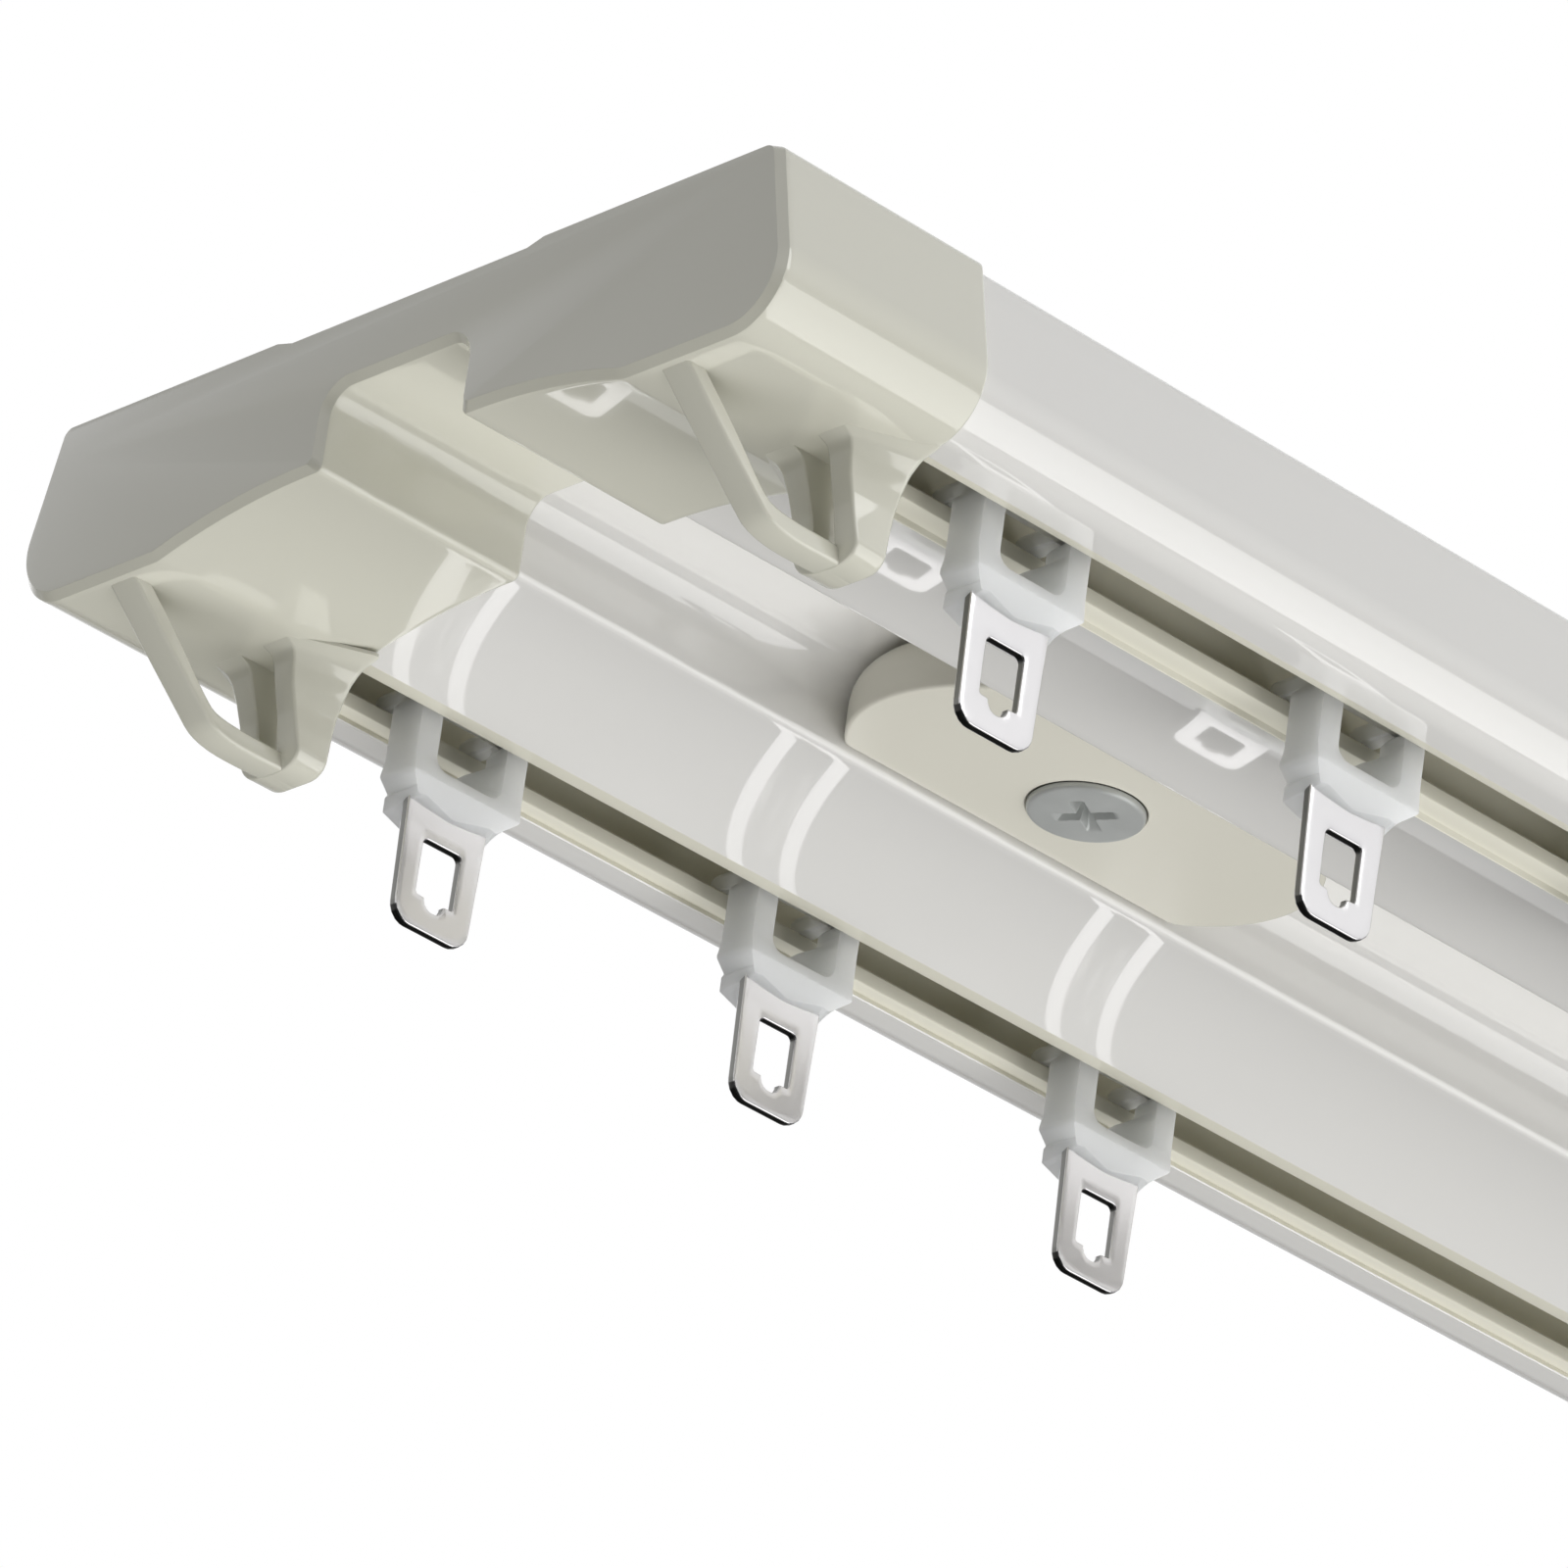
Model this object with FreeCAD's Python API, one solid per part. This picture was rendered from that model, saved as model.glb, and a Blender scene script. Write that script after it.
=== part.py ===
import FreeCAD, Part
import os
from math import atan2, cos, pi, sin, sqrt, tan
from FreeCAD import Vector

# Two-run ceiling curtain track. Millimetres, +Z up to the ceiling, X along the track.
# The origin is the middle of the track's flat top, which lies against the ceiling.

# Extruded track section
TRACK_LENGTH = 1200.0
TOP_HALF_WIDTH = 39.1
TOP_EDGE_RADIUS = 0.9
SIDE_LEAN = 1.85
SIDE_ROUND_Z = 10.03
SIDE_ROUND_RADIUS = 4.1
BEND_TO_RUN = 5.0
RECESS_HALF_WIDTH = 8.8
RECESS_DEPTH = 5.0
RECESS_FILLET = 3.2
INNER_EDGE_DEPTH = 11.7
INNER_EDGE_RADIUS = 0.6
TRACK_WALL = 1.3
TOP_WALL = 1.3
RUNNER_WEB_TO_RUN = 6.6
RUNNER_WEB = 1.1

# Slot, and the bare lips between the edges of the outer skin
RUN_FROM_EDGE = 8.1
SLOT_WIDTH = 5.2
SKIN_STEP = 0.45
SKIN_OUTER_EDGE_REACH = 4.1
LIP_THICKNESS = 1.5
LIP_TOP_REACH = 5.4

# End cap, a sleeve over the track's end closed by a plate
CAP_WALL = 0.85
CAP_FIT = 0.15
CAP_LENGTH = 20.9
CAP_PLATE = 2.0
CAP_CHAMFER = 0.7
CAP_REAR_EDGE = 0.3
CAP_SEAT_GAP = 0.1
PLATE_RELIEF_HALF = 13.1
PLATE_RELIEF_RAMP = 1.8
PLATE_RELIEF = 0.45

# Hook loop under each run of the end cap: strut, bar and a rear post split into a fork
HOOK_TO_RUN = 0.3
HOOK_WIDTH = 2.9
HOOK_DROP = 9.1
HOOK_BAR = 1.6
HOOK_FRONT_X = 1.4
STRUT_DEPTH = 1.9
HOOK_KNEE_X = 9.3
HOOK_KNEE_RISE = 2.1
HOOK_TOE_X = 11.8
INNER_KNEE_X = 10.2
INNER_KNEE_RISE = 2.3
INNER_TOE_X = 11.4
POST_DEPTH_TOP = 5.5
POST_DEPTH_LOW = 2.9
POST_BOW_X = 4.0
POST_BOW_DROP = 4.8
POST_HEEL_RADIUS = 0.6
FORK_FOOT_HALF = 3.3
FORK_FOOT_RADIUS = 1.2
FORK_WAIST_HALF = 3.7
FORK_WAIST_DROP = 4.2
FORK_FLARE_HALF = 4.7
FORK_FLARE_DROP = 2.0
FORK_ROOT_HALF = 6.6
FORK_GAP_LOW = 2.1
FORK_GAP_TOP = 3.1

# Fixing washer and its screw
FIXING_FROM_END = 73.7
WASHER_LENGTH = 43.8
WASHER_END_RADIUS = 11.5
WASHER_FACE_DEPTH = 11.0
WASHER_FIT = 0.2
SCREW_HEAD_RADIUS = 4.7
SCREW_HEAD_RISE = 0.6
SCREW_SHANK_RADIUS = 2.1
SCREW_CONE = 2.4
SCREW_INTO_CEILING = 24.0
SCREW_TIP = 4.0
SCREW_HOLE_FIT = 0.2
DRIVE_REACH = 2.3
DRIVE_WIDTH = 1.0
DRIVE_DEPTH = 1.4

# Glider: shoe inside the track, two legs through the slot, hub round the eyelet
FIRST_GLIDER_FROM_END = 36.05
GLIDER_PITCH = 36.1
GLIDERS_PER_GROUP = 3
GLIDER_HALF_LENGTH = 5.55
GLIDER_THICKNESS = 3.6
RUNNING_GAP = 0.3
SHOE_WIDTH = 9.6
SHOE_THICKNESS = 1.8
LEG_WIDTH = 2.2
HUB_BELOW_TRACK = 3.17
HUB_SIDE_DROP = 1.0
HUB_PINCH_DROP = 2.1
HUB_PINCH = 0.9
HUB_WING_DROP = 2.5
HUB_WING_INSET = 0.7
HUB_WING_HEIGHT = 1.2
HUB_HEIGHT = 4.5
HUB_BOTTOM_INSET = 2.65
HUB_BULGE = 0.12
HUB_SWELL = 0.25
HUB_SHORT_HEIGHT = 3.0
HUB_SHORT_WALL = 0.7
HUB_LONG_WALL = 1.3
WINDOW_ROUND = 1.6

# Steel eyelet held in the hub
EYELET_THICKNESS = 0.8
EYELET_TOP_HALF = 4.1
EYELET_BOTTOM_HALF = 3.75
EYELET_BELOW_HUB_TOP = 1.6
EYELET_HEIGHT = 11.4
EYELET_CORNER = 1.3
EYELET_OFFSET = -0.3
HOLE_HALF_WIDTH = 1.93
HOLE_BELOW_HUB = 0.8
HOLE_HEIGHT = 4.3
HOLE_CORNER = 0.35
NOTCH_RADIUS = 1.2

RUN_Y = TOP_HALF_WIDTH - RUN_FROM_EDGE
SIDE_ROUND_Y = TOP_HALF_WIDTH - SIDE_LEAN
BEND_Y = RUN_Y - BEND_TO_RUN
RUNNER_WEB_Y = RUN_Y - RUNNER_WEB_TO_RUN
SKIN_OUTER_EDGE_Y = RUN_Y + SKIN_OUTER_EDGE_REACH
HOOK_Y = RUN_Y - HOOK_TO_RUN
TRACK_HALF = TRACK_LENGTH / 2
CAP_GROWTH = CAP_FIT + CAP_WALL
TRACK_BOTTOM = SIDE_ROUND_Z + SIDE_ROUND_RADIUS
LIP_FACE = TRACK_BOTTOM - SKIN_STEP
LIP_TOP = LIP_FACE - LIP_THICKNESS
CAP_BOTTOM = TRACK_BOTTOM + CAP_GROWTH
END_FACE_X = TRACK_HALF + CAP_SEAT_GAP + CAP_PLATE
HUB_TOP_DEPTH = TRACK_BOTTOM + HUB_BELOW_TRACK
HUB_SIDE_DEPTH = HUB_TOP_DEPTH + HUB_SIDE_DROP
HUB_PINCH_DEPTH = HUB_TOP_DEPTH + HUB_PINCH_DROP
HUB_WING_DEPTH = HUB_TOP_DEPTH + HUB_WING_DROP
HUB_WING_END_DEPTH = HUB_WING_DEPTH + HUB_WING_HEIGHT
HUB_SHORT_DEPTH = HUB_TOP_DEPTH + HUB_SHORT_HEIGHT
HUB_BOTTOM_DEPTH = HUB_TOP_DEPTH + HUB_HEIGHT
EYELET_TOP_DEPTH = HUB_TOP_DEPTH + EYELET_BELOW_HUB_TOP
EYELET_BOTTOM_DEPTH = EYELET_TOP_DEPTH + EYELET_HEIGHT
HOLE_TOP_DEPTH = HUB_BOTTOM_DEPTH + HOLE_BELOW_HUB
HOLE_BOTTOM_DEPTH = HOLE_TOP_DEPTH + HOLE_HEIGHT
OVERRUN = 5.0


def arc(start, middle, end):
    return Part.Arc(start, middle, end).toShape()


def box(x0, x1, y0, y1, z0, z1):
    return Part.makeBox(x1 - x0, y1 - y0, z1 - z0, Vector(x0, y0, z0))


def joined(shapes):
    return shapes[0].multiFuse(shapes[1:]).removeSplitter()


def mirrored_y(shape):
    return shape.mirror(Vector(0, 0, 0), Vector(0, 1, 0))


def mirrored_x(shape):
    return shape.mirror(Vector(0, 0, 0), Vector(1, 0, 0))


def yz(y, z):
    return Vector(0, y, z)


def side_edges(grow):
    """Top corner, splayed side and round foot of one side, from the top's middle outwards."""
    top_y = TOP_HALF_WIDTH + grow
    radius = SIDE_ROUND_RADIUS + grow
    dy, dz = top_y - SIDE_ROUND_Y, SIDE_ROUND_Z
    reach = sqrt(dy * dy + dz * dz)
    normal = atan2(dz, dy) - atan2(sqrt(reach * reach - radius * radius), radius)
    foot = yz(SIDE_ROUND_Y + radius * cos(normal), -SIDE_ROUND_Z + radius * sin(normal))
    cut = TOP_EDGE_RADIUS * tan((pi / 2 - normal) / 2)
    slope = foot.sub(yz(top_y, 0)).normalize()
    top_end = yz(top_y - cut, 0)
    side_start = yz(top_y, 0).add(slope.multiply(cut))
    centre = yz(top_y - cut, -TOP_EDGE_RADIUS)
    middle_angle = (normal + pi / 2) / 2
    middle = centre.add(yz(cos(middle_angle), sin(middle_angle)).multiply(TOP_EDGE_RADIUS))
    low = (normal - pi / 2) / 2
    foot_middle = yz(SIDE_ROUND_Y + radius * cos(low), -SIDE_ROUND_Z + radius * sin(low))
    bottom = yz(SIDE_ROUND_Y, -SIDE_ROUND_Z - radius)
    return [
        Part.LineSegment(yz(0, 0), top_end).toShape(),
        arc(top_end, middle, side_start),
        Part.LineSegment(side_start, foot).toShape(),
        arc(foot, foot_middle, bottom),
    ]


def underside_edges(grow):
    """Flat foot, hollow-curved underside, recess wall, fillet and ceiling of one side."""
    bottom = -(TRACK_BOTTOM + grow)
    wall_y = RECESS_HALF_WIDTH - grow
    edge_z = -(INNER_EDGE_DEPTH + grow)
    edge = INNER_EDGE_RADIUS
    run, drop = BEND_Y - wall_y - edge, edge_z - bottom
    radius = (run * run + drop * drop) / (2 * drop)
    half = atan2(run, radius - drop) / 2
    curve_middle = yz(wall_y + edge + radius * sin(half), edge_z - radius * (1 - cos(half)))
    fillet = RECESS_FILLET - grow
    ceiling = -(RECESS_DEPTH + grow)
    diagonal = sqrt(0.5)
    edge_middle = yz(wall_y + edge * (1 - diagonal), edge_z + edge * (1 - diagonal))
    fillet_middle = yz(wall_y - fillet * (1 - diagonal), ceiling - fillet * (1 - diagonal))
    return [
        Part.LineSegment(yz(SIDE_ROUND_Y, bottom), yz(BEND_Y, bottom)).toShape(),
        arc(yz(BEND_Y, bottom), curve_middle, yz(wall_y + edge, edge_z)),
        arc(yz(wall_y + edge, edge_z), edge_middle, yz(wall_y, edge_z + edge)),
        Part.LineSegment(yz(wall_y, edge_z + edge), yz(wall_y, ceiling - fillet)).toShape(),
        arc(yz(wall_y, ceiling - fillet), fillet_middle, yz(wall_y - fillet, ceiling)),
        Part.LineSegment(yz(wall_y - fillet, ceiling), yz(0, ceiling)).toShape(),
    ]


def outline(grow, x):
    """Closed section of the track grown by a distance, its top kept on the ceiling plane."""
    half = side_edges(grow) + underside_edges(grow)
    edges = half + [mirrored_y(edge) for edge in half]
    wire = Part.Wire(Part.__sortEdges__(edges))
    wire.translate(Vector(x, 0, 0))
    return wire


def bar(grow, x0, x1):
    return Part.Face(outline(grow, x0)).extrude(Vector(x1 - x0, 0, 0))


def chambers():
    """Hollow space inside the track, left between its top, its webs and the slot's lips."""
    x0, x1 = -TRACK_HALF - OVERRUN, TRACK_HALF + OVERRUN
    space = bar(-TRACK_WALL, x0, x1)
    solids = [box(x0, x1, -TOP_HALF_WIDTH, TOP_HALF_WIDTH, -TOP_WALL, OVERRUN)]
    for side in (-1, 1):
        webs = [
            (RECESS_HALF_WIDTH, RECESS_HALF_WIDTH + TRACK_WALL, -TRACK_BOTTOM, 0),
            (RUNNER_WEB_Y, RUNNER_WEB_Y + RUNNER_WEB, -TRACK_BOTTOM, 0),
            (RUNNER_WEB_Y, RUN_Y + LIP_TOP_REACH, -TRACK_BOTTOM, -LIP_TOP),
        ]
        for y0, y1, z0, z1 in webs:
            low, high = sorted((side * y0, side * y1))
            solids.append(box(x0, x1, low, high, z0, z1))
    return space.cut(solids)


def fixing_positions():
    far = END_FACE_X - FIXING_FROM_END
    return [-far, 0.0, far]


def track_profile():
    body = bar(0, -TRACK_HALF, TRACK_HALF).cut(chambers())
    x0, x1 = -TRACK_HALF - OVERRUN, TRACK_HALF + OVERRUN
    cuts = []
    for side in (-1, 1):
        low, high = sorted((side * BEND_Y, side * SKIN_OUTER_EDGE_Y))
        cuts.append(box(x0, x1, low, high, -TRACK_BOTTOM - OVERRUN, -LIP_FACE))
        middle = side * RUN_Y
        half = SLOT_WIDTH / 2
        cuts.append(box(x0, x1, middle - half, middle + half, -TRACK_BOTTOM, -LIP_TOP + OVERRUN))
    hole_radius = SCREW_SHANK_RADIUS + SCREW_HOLE_FIT
    for x in fixing_positions():
        foot = Vector(x, 0, -RECESS_DEPTH - OVERRUN)
        cuts.append(Part.makeCylinder(hole_radius, RECESS_DEPTH + 2 * OVERRUN, foot))
    return body.cut(cuts).removeSplitter()


def cap_shell():
    """Sleeve and end plate of a cap, its outer face at x = 0 and its open end towards +X."""
    front_wires = [outline(CAP_GROWTH - CAP_CHAMFER, 0), outline(CAP_GROWTH, CAP_CHAMFER)]
    front = Part.makeLoft(front_wires, True, True)
    sleeve = bar(CAP_GROWTH, CAP_CHAMFER, CAP_LENGTH - CAP_REAR_EDGE)
    rear_wires = [
        outline(CAP_GROWTH, CAP_LENGTH - CAP_REAR_EDGE),
        outline(CAP_GROWTH - CAP_REAR_EDGE, CAP_LENGTH),
    ]
    rear = Part.makeLoft(rear_wires, True, True)
    relief_points = [
        yz(-PLATE_RELIEF_HALF - PLATE_RELIEF_RAMP, 0),
        yz(-PLATE_RELIEF_HALF, -PLATE_RELIEF),
        yz(PLATE_RELIEF_HALF, -PLATE_RELIEF),
        yz(PLATE_RELIEF_HALF + PLATE_RELIEF_RAMP, 0),
        yz(PLATE_RELIEF_HALF + PLATE_RELIEF_RAMP, OVERRUN),
        yz(-PLATE_RELIEF_HALF - PLATE_RELIEF_RAMP, OVERRUN),
    ]
    relief = Part.Face(Part.makePolygon(relief_points + relief_points[:1]))
    relief.translate(Vector(-OVERRUN, 0, 0))
    relief = relief.extrude(Vector(OVERRUN + CAP_PLATE, 0, 0))
    return joined([front, sleeve, rear]).cut([bar(CAP_FIT, CAP_PLATE, CAP_LENGTH + OVERRUN), relief])


def hook_ring():
    """Strut and bar of a hook loop: a bent strip seen from the side."""
    top = -CAP_BOTTOM + CAP_WALL / 2
    root = -CAP_BOTTOM
    low = root - HOOK_DROP
    inner_low = low + HOOK_BAR
    rear = CAP_LENGTH - POST_DEPTH_LOW / 2
    points = [
        (HOOK_FRONT_X, top),
        (HOOK_FRONT_X, root),
        (HOOK_KNEE_X, low + HOOK_KNEE_RISE),
        (HOOK_TOE_X, low),
        (rear, low),
        (rear, inner_low),
        (INNER_TOE_X, inner_low),
        (INNER_KNEE_X, low + INNER_KNEE_RISE),
        (HOOK_FRONT_X + STRUT_DEPTH, root),
        (HOOK_FRONT_X + STRUT_DEPTH, top),
    ]
    face = Part.Face(Part.makePolygon([Vector(x, 0, z) for x, z in points + points[:1]]))
    face.translate(Vector(0, HOOK_Y - HOOK_WIDTH / 2, 0))
    return face.extrude(Vector(0, HOOK_WIDTH, 0))


def post_side():
    """The rear post seen from the side: hollow-curved front edge, rounded heel."""
    top = -CAP_BOTTOM + CAP_WALL / 2
    low = -CAP_BOTTOM - HOOK_DROP
    heel = POST_HEEL_RADIUS
    soft = heel * (1 - sqrt(0.5))
    front_top = Vector(CAP_LENGTH - POST_DEPTH_TOP, 0, top)
    bow = Vector(CAP_LENGTH - POST_BOW_X, 0, -CAP_BOTTOM - POST_BOW_DROP)
    front_low = Vector(CAP_LENGTH - POST_DEPTH_LOW, 0, low)
    heel_front = Vector(CAP_LENGTH - heel, 0, low)
    heel_rear = Vector(CAP_LENGTH, 0, low + heel)
    rear_top = Vector(CAP_LENGTH, 0, top)
    edges = [
        arc(front_top, bow, front_low),
        Part.LineSegment(front_low, heel_front).toShape(),
        arc(heel_front, Vector(CAP_LENGTH - soft, 0, low + soft), heel_rear),
        Part.LineSegment(heel_rear, rear_top).toShape(),
        Part.LineSegment(rear_top, front_top).toShape(),
    ]
    face = Part.Face(Part.Wire(edges))
    face.translate(Vector(0, HOOK_Y - FORK_ROOT_HALF, 0))
    return face.extrude(Vector(0, 2 * FORK_ROOT_HALF, 0))


def post_flank(side):
    """One flank of the post seen along the track, from its foot up to the flared root."""
    root = -CAP_BOTTOM
    low = root - HOOK_DROP
    soft = FORK_FOOT_RADIUS * (1 - sqrt(0.5))

    def at(half, z):
        return yz(HOOK_Y + side * half, z)

    foot_in = at(FORK_FOOT_HALF - FORK_FOOT_RADIUS, low)
    foot_out = at(FORK_FOOT_HALF, low + FORK_FOOT_RADIUS)
    waist = at(FORK_WAIST_HALF, root - FORK_WAIST_DROP)
    spread = at(FORK_ROOT_HALF, root)
    top = at(FORK_ROOT_HALF, root + CAP_WALL / 2)
    edges = [
        arc(foot_in, at(FORK_FOOT_HALF - soft, low + soft), foot_out),
        Part.LineSegment(foot_out, waist).toShape(),
        arc(waist, at(FORK_FLARE_HALF, root - FORK_FLARE_DROP), spread),
        Part.LineSegment(spread, top).toShape(),
    ]
    return edges, foot_in, top


def post_along():
    """The rear post seen along the track, flaring into the cap's underside."""
    left, left_foot, left_top = post_flank(-1)
    right, right_foot, right_top = post_flank(1)
    joins = [
        Part.LineSegment(left_foot, right_foot).toShape(),
        Part.LineSegment(left_top, right_top).toShape(),
    ]
    wire = Part.Wire(Part.__sortEdges__(left + right + joins))
    return Part.Face(wire).extrude(Vector(CAP_LENGTH, 0, 0))


def fork_gap():
    """Tapering gap that splits the post into two tines above the bar."""
    root = -CAP_BOTTOM
    foot = root - HOOK_DROP + HOOK_BAR
    corners = [
        yz(HOOK_Y - FORK_GAP_LOW / 2, foot),
        yz(HOOK_Y + FORK_GAP_LOW / 2, foot),
        yz(HOOK_Y + FORK_GAP_TOP / 2, root),
        yz(HOOK_Y - FORK_GAP_TOP / 2, root),
    ]
    return Part.Face(Part.makePolygon(corners + corners[:1])).extrude(Vector(CAP_LENGTH + OVERRUN, 0, 0))


def hook_loop():
    post = post_side().common(post_along()).cut(fork_gap())
    return joined([hook_ring(), post])


def end_cap():
    hook = hook_loop()
    cavity = bar(CAP_FIT, CAP_PLATE, CAP_LENGTH + OVERRUN)
    return joined([cap_shell(), hook.cut(cavity), mirrored_y(hook.cut(cavity))])


def fixing_washer(x):
    """Block with bowed ends that fills the recess, countersunk for the screw."""
    half_width = RECESS_HALF_WIDTH - WASHER_FIT
    bow = WASHER_END_RADIUS - sqrt(WASHER_END_RADIUS ** 2 - half_width ** 2)
    straight = WASHER_LENGTH / 2 - bow
    low, high = -WASHER_FACE_DEPTH, -RECESS_DEPTH

    def at(px, py):
        return Vector(x + px, py, low)

    edges = [
        Part.LineSegment(at(-straight, -half_width), at(straight, -half_width)).toShape(),
        arc(at(straight, -half_width), at(WASHER_LENGTH / 2, 0), at(straight, half_width)),
        Part.LineSegment(at(straight, half_width), at(-straight, half_width)).toShape(),
        arc(at(-straight, half_width), at(-WASHER_LENGTH / 2, 0), at(-straight, -half_width)),
    ]
    block = Part.Face(Part.Wire(edges)).extrude(Vector(0, 0, high - low))
    x0, x1 = x - WASHER_LENGTH, x + WASHER_LENGTH
    around = bar(WASHER_FIT, x0, x1)
    seat = box(x0, x1, -half_width, half_width, -RECESS_DEPTH - WASHER_FIT, 0)
    hole_radius = SCREW_SHANK_RADIUS + SCREW_HOLE_FIT
    hole = Part.makeCylinder(hole_radius, high - low, Vector(x, 0, low))
    sink_radius = SCREW_HEAD_RADIUS - SCREW_HEAD_RISE
    sink = Part.makeCone(sink_radius, hole_radius, SCREW_CONE, Vector(x, 0, low))
    return block.cut([around, seat, hole, sink])


def fixing_screw(x):
    """Countersunk screw with a bevelled rim, a cross recess and a pointed shank."""
    face = -WASHER_FACE_DEPTH - SCREW_HEAD_RISE
    under = -WASHER_FACE_DEPTH
    sink_radius = SCREW_HEAD_RADIUS - SCREW_HEAD_RISE
    rim = [
        (0, face),
        (SCREW_HEAD_RADIUS - SCREW_HEAD_RISE, face),
        (SCREW_HEAD_RADIUS, under),
        (sink_radius - SCREW_HOLE_FIT, under),
        (SCREW_SHANK_RADIUS, under + SCREW_CONE - SCREW_HOLE_FIT),
        (SCREW_SHANK_RADIUS, SCREW_INTO_CEILING - SCREW_TIP),
        (0, SCREW_INTO_CEILING),
    ]
    section = Part.Face(Part.makePolygon([Vector(r, 0, z) for r, z in rim + rim[:1]]))
    screw = section.revolve(Vector(0, 0, 0), Vector(0, 0, 1), 360)
    half = DRIVE_WIDTH / 2
    arms = [
        box(-DRIVE_REACH, DRIVE_REACH, -half, half, face - OVERRUN, face + DRIVE_DEPTH),
        box(-half, half, -DRIVE_REACH, DRIVE_REACH, face - OVERRUN, face + DRIVE_DEPTH),
    ]
    screw = screw.cut(arms)
    screw.translate(Vector(x, 0, 0))
    return screw


def eyelet():
    """Flat steel plate, narrower at its foot, with a long hole that ends in a round notch."""
    half = EYELET_THICKNESS / 2
    corner = EYELET_CORNER
    taper = (EYELET_TOP_HALF - EYELET_BOTTOM_HALF) / (EYELET_BOTTOM_DEPTH - EYELET_TOP_DEPTH)
    side = EYELET_BOTTOM_HALF + taper * corner

    def at(x, depth):
        return Vector(x, -half, -depth)

    low = EYELET_BOTTOM_DEPTH
    soft = corner * (1 - sqrt(0.5))
    top_left = at(-EYELET_TOP_HALF, EYELET_TOP_DEPTH)
    top_right = at(EYELET_TOP_HALF, EYELET_TOP_DEPTH)
    edges = [
        Part.LineSegment(top_left, top_right).toShape(),
        Part.LineSegment(top_right, at(side, low - corner)).toShape(),
        arc(at(side, low - corner), at(side - soft, low - soft), at(side - corner, low)),
        Part.LineSegment(at(side - corner, low), at(corner - side, low)).toShape(),
        arc(at(corner - side, low), at(soft - side, low - soft), at(-side, low - corner)),
        Part.LineSegment(at(-side, low - corner), top_left).toShape(),
    ]
    plate = Part.Face(Part.Wire(edges)).extrude(Vector(0, EYELET_THICKNESS, 0))
    hole = box(-HOLE_HALF_WIDTH, HOLE_HALF_WIDTH, -OVERRUN, OVERRUN, -HOLE_BOTTOM_DEPTH, -HOLE_TOP_DEPTH)
    upright = [edge for edge in hole.Edges if abs(edge.BoundBox.YLength - 2 * OVERRUN) < 0.01]
    hole = hole.makeChamfer(HOLE_CORNER, upright)
    notch_start = Vector(0, -OVERRUN, -HOLE_BOTTOM_DEPTH)
    notch = Part.makeCylinder(NOTCH_RADIUS, 2 * OVERRUN, notch_start, Vector(0, 1, 0))
    plate = plate.cut([hole, notch])
    plate.translate(Vector(EYELET_OFFSET, 0, 0))
    return plate


def glider_side():
    """Legs and hub seen across the track, with the window between the legs left open."""
    half = GLIDER_HALF_LENGTH
    top = LIP_TOP - RUNNING_GAP
    points = [
        (half, top),
        (half, HUB_TOP_DEPTH),
        (half + HUB_BULGE, HUB_SIDE_DEPTH),
        (half - HUB_PINCH, HUB_PINCH_DEPTH),
        (half - HUB_WING_INSET, HUB_WING_DEPTH),
        (half - HUB_WING_INSET, HUB_WING_END_DEPTH),
        (half - HUB_BOTTOM_INSET, HUB_BOTTOM_DEPTH),
    ]
    ring = points + [(-x, depth) for x, depth in reversed(points)]
    face = Part.Face(Part.makePolygon([Vector(x, 0, -depth) for x, depth in ring + ring[:1]]))
    face.translate(Vector(0, -GLIDER_THICKNESS, 0))
    block = face.extrude(Vector(0, 2 * GLIDER_THICKNESS, 0))
    gap = half - LEG_WIDTH
    window = box(-gap, gap, -OVERRUN, OVERRUN, -HUB_TOP_DEPTH, -top)
    low_edges = [
        edge for edge in window.Edges
        if edge.BoundBox.YLength > OVERRUN and abs(edge.BoundBox.ZMin + HUB_TOP_DEPTH) < 0.01
    ]
    return block.cut(window.makeFillet(WINDOW_ROUND, low_edges))


def glider_end():
    """Legs and hub seen along the track: the hub's cheek towards -Y is shorter than the other."""
    half = GLIDER_THICKNESS / 2
    ring = [
        (half, LIP_TOP - RUNNING_GAP),
        (half, HUB_TOP_DEPTH),
        (half + HUB_SWELL, HUB_SIDE_DEPTH),
        (half, HUB_PINCH_DEPTH),
        (HUB_LONG_WALL, HUB_BOTTOM_DEPTH),
        (0, HUB_BOTTOM_DEPTH),
        (0, HUB_SHORT_DEPTH),
        (-HUB_SHORT_WALL, HUB_SHORT_DEPTH),
        (-half, HUB_PINCH_DEPTH - HUB_PINCH),
        (-half - HUB_SWELL, HUB_SIDE_DEPTH),
        (-half, HUB_TOP_DEPTH),
        (-half, LIP_TOP - RUNNING_GAP),
    ]
    face = Part.Face(Part.makePolygon([yz(y, -depth) for y, depth in ring + ring[:1]]))
    face.translate(Vector(-2 * GLIDER_HALF_LENGTH, 0, 0))
    return face.extrude(Vector(4 * GLIDER_HALF_LENGTH, 0, 0))


def glider_body():
    """Moulded glider with its shoe on top, pocketed for the eyelet."""
    stem = glider_side().common(glider_end())
    shoe_low = -(LIP_TOP - RUNNING_GAP)
    shoe = box(
        -GLIDER_HALF_LENGTH, GLIDER_HALF_LENGTH, -SHOE_WIDTH / 2, SHOE_WIDTH / 2,
        shoe_low, shoe_low + SHOE_THICKNESS,
    )
    top_edges = [edge for edge in shoe.Edges if edge.BoundBox.ZMin > shoe_low + SHOE_THICKNESS / 2]
    shoe = shoe.makeChamfer(SHOE_THICKNESS / 3, top_edges)
    return joined([stem, shoe]).cut(eyelet())


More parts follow.
